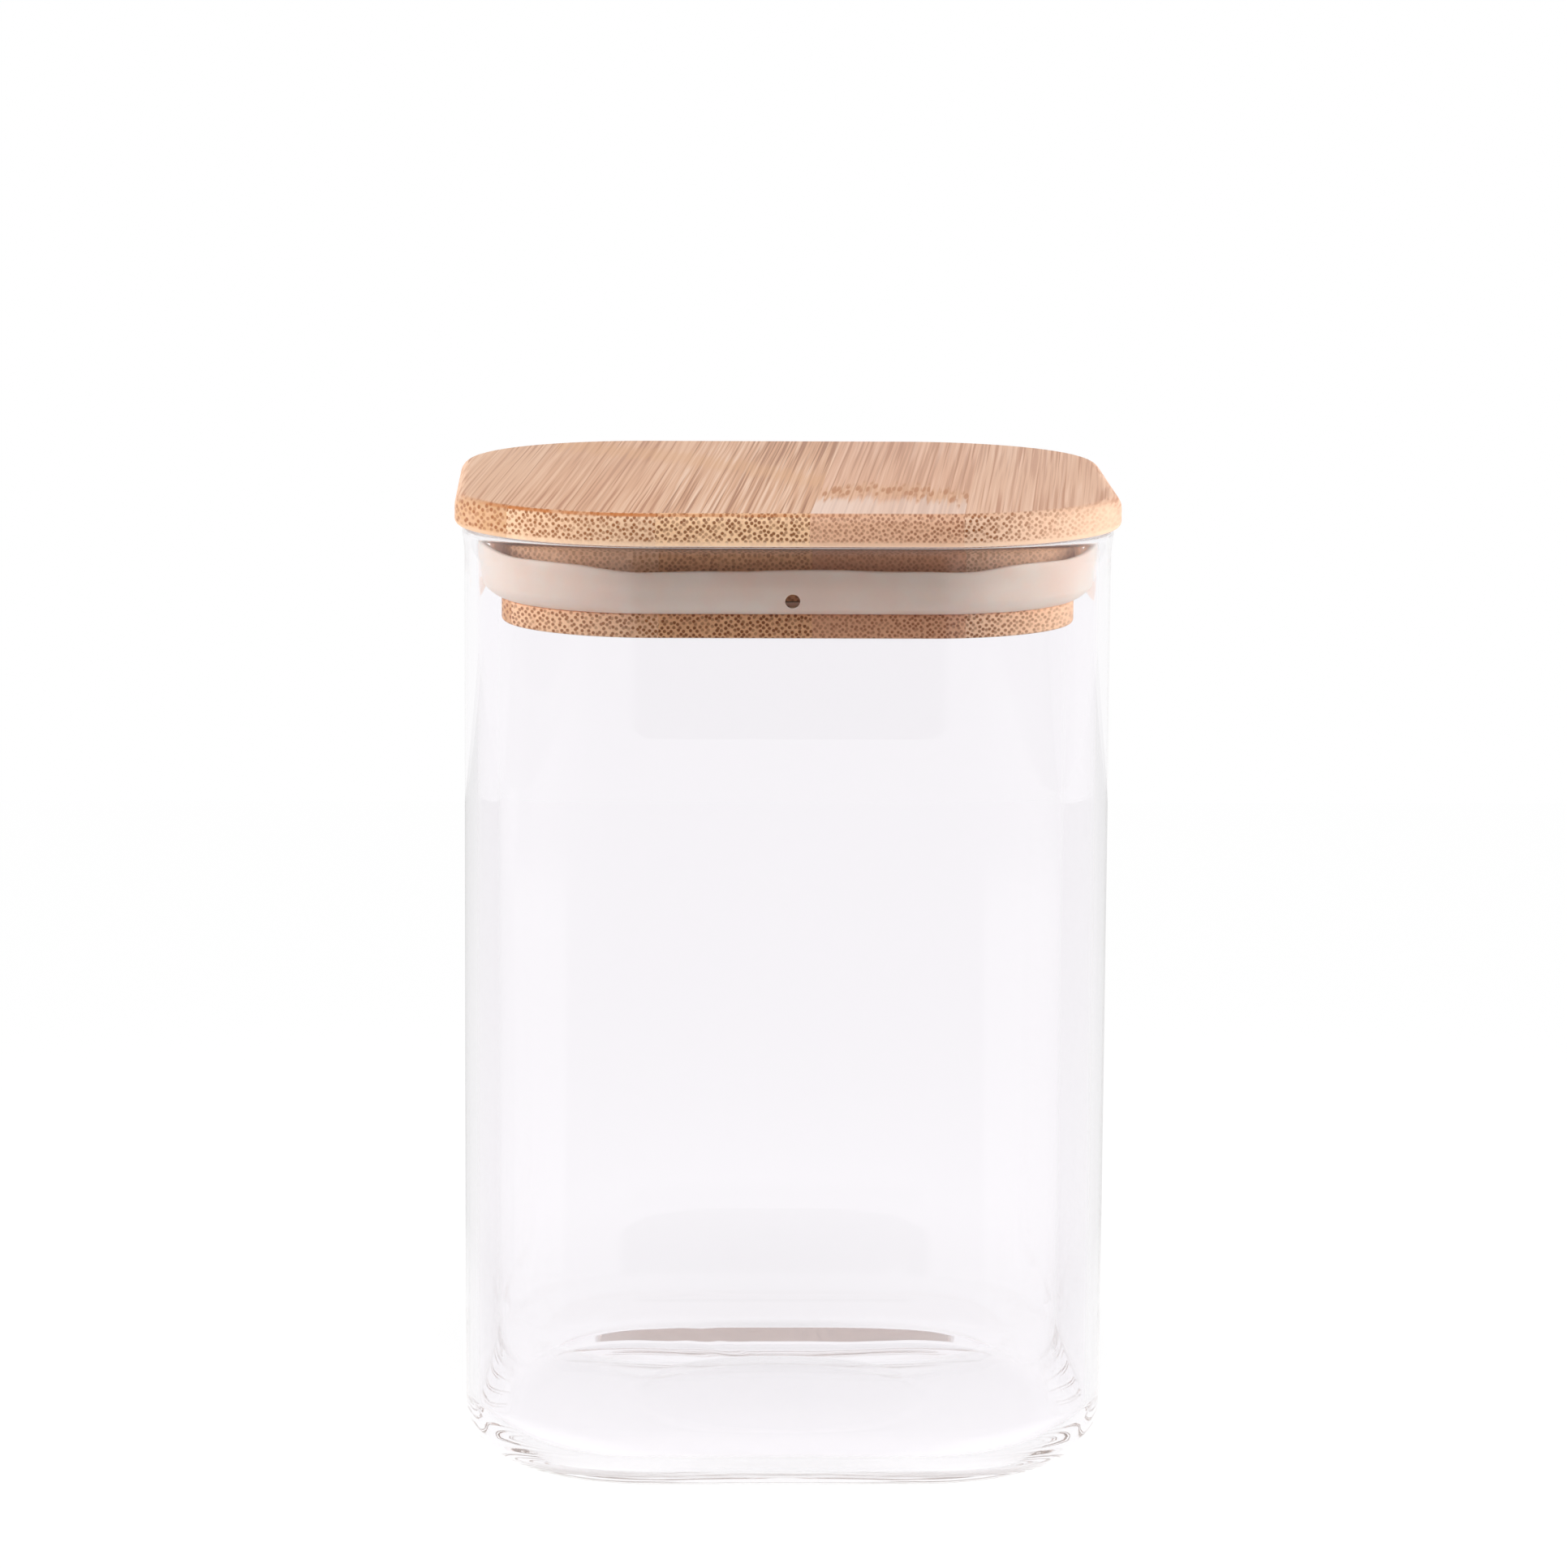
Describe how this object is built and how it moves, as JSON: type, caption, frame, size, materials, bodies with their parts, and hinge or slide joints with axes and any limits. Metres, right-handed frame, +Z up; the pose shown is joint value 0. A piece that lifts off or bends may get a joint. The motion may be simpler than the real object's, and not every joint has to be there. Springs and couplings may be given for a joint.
{
  "type": "lidded glass canister",
  "caption": "Square clear-glass storage canister with rounded corners and a flat bamboo lid; the lid's plug carries a soft silicone seal that grips the inside of the glass.",
  "frame": {"origin": "middle of the face that the jar stands on", "axes": "+Z up through the lid, -Y towards the front, where the seal's breather hole is"},
  "size_m": [0.103, 0.103, 0.1524],
  "materials": {
    "clear_glass": "clear and polished",
    "bamboo": "sanded, satin clear coat",
    "silicone": "translucent, satin"
  },
  "bodies": {
    "jar": {"glass_jar": "clear_glass"},
    "lid": {"lid_stave_1": "bamboo", "lid_stave_2": "bamboo", "lid_stave_3": "bamboo", "lid_stave_4": "bamboo", "lid_stave_5": "bamboo", "silicone_seal": "silicone"}
  },
  "joints": [
    {"name": "lid_lift", "type": "slide", "parent": "jar", "child": "lid", "axis": [0, 0, 1], "range_m": [0, 0.06]}
  ]
}
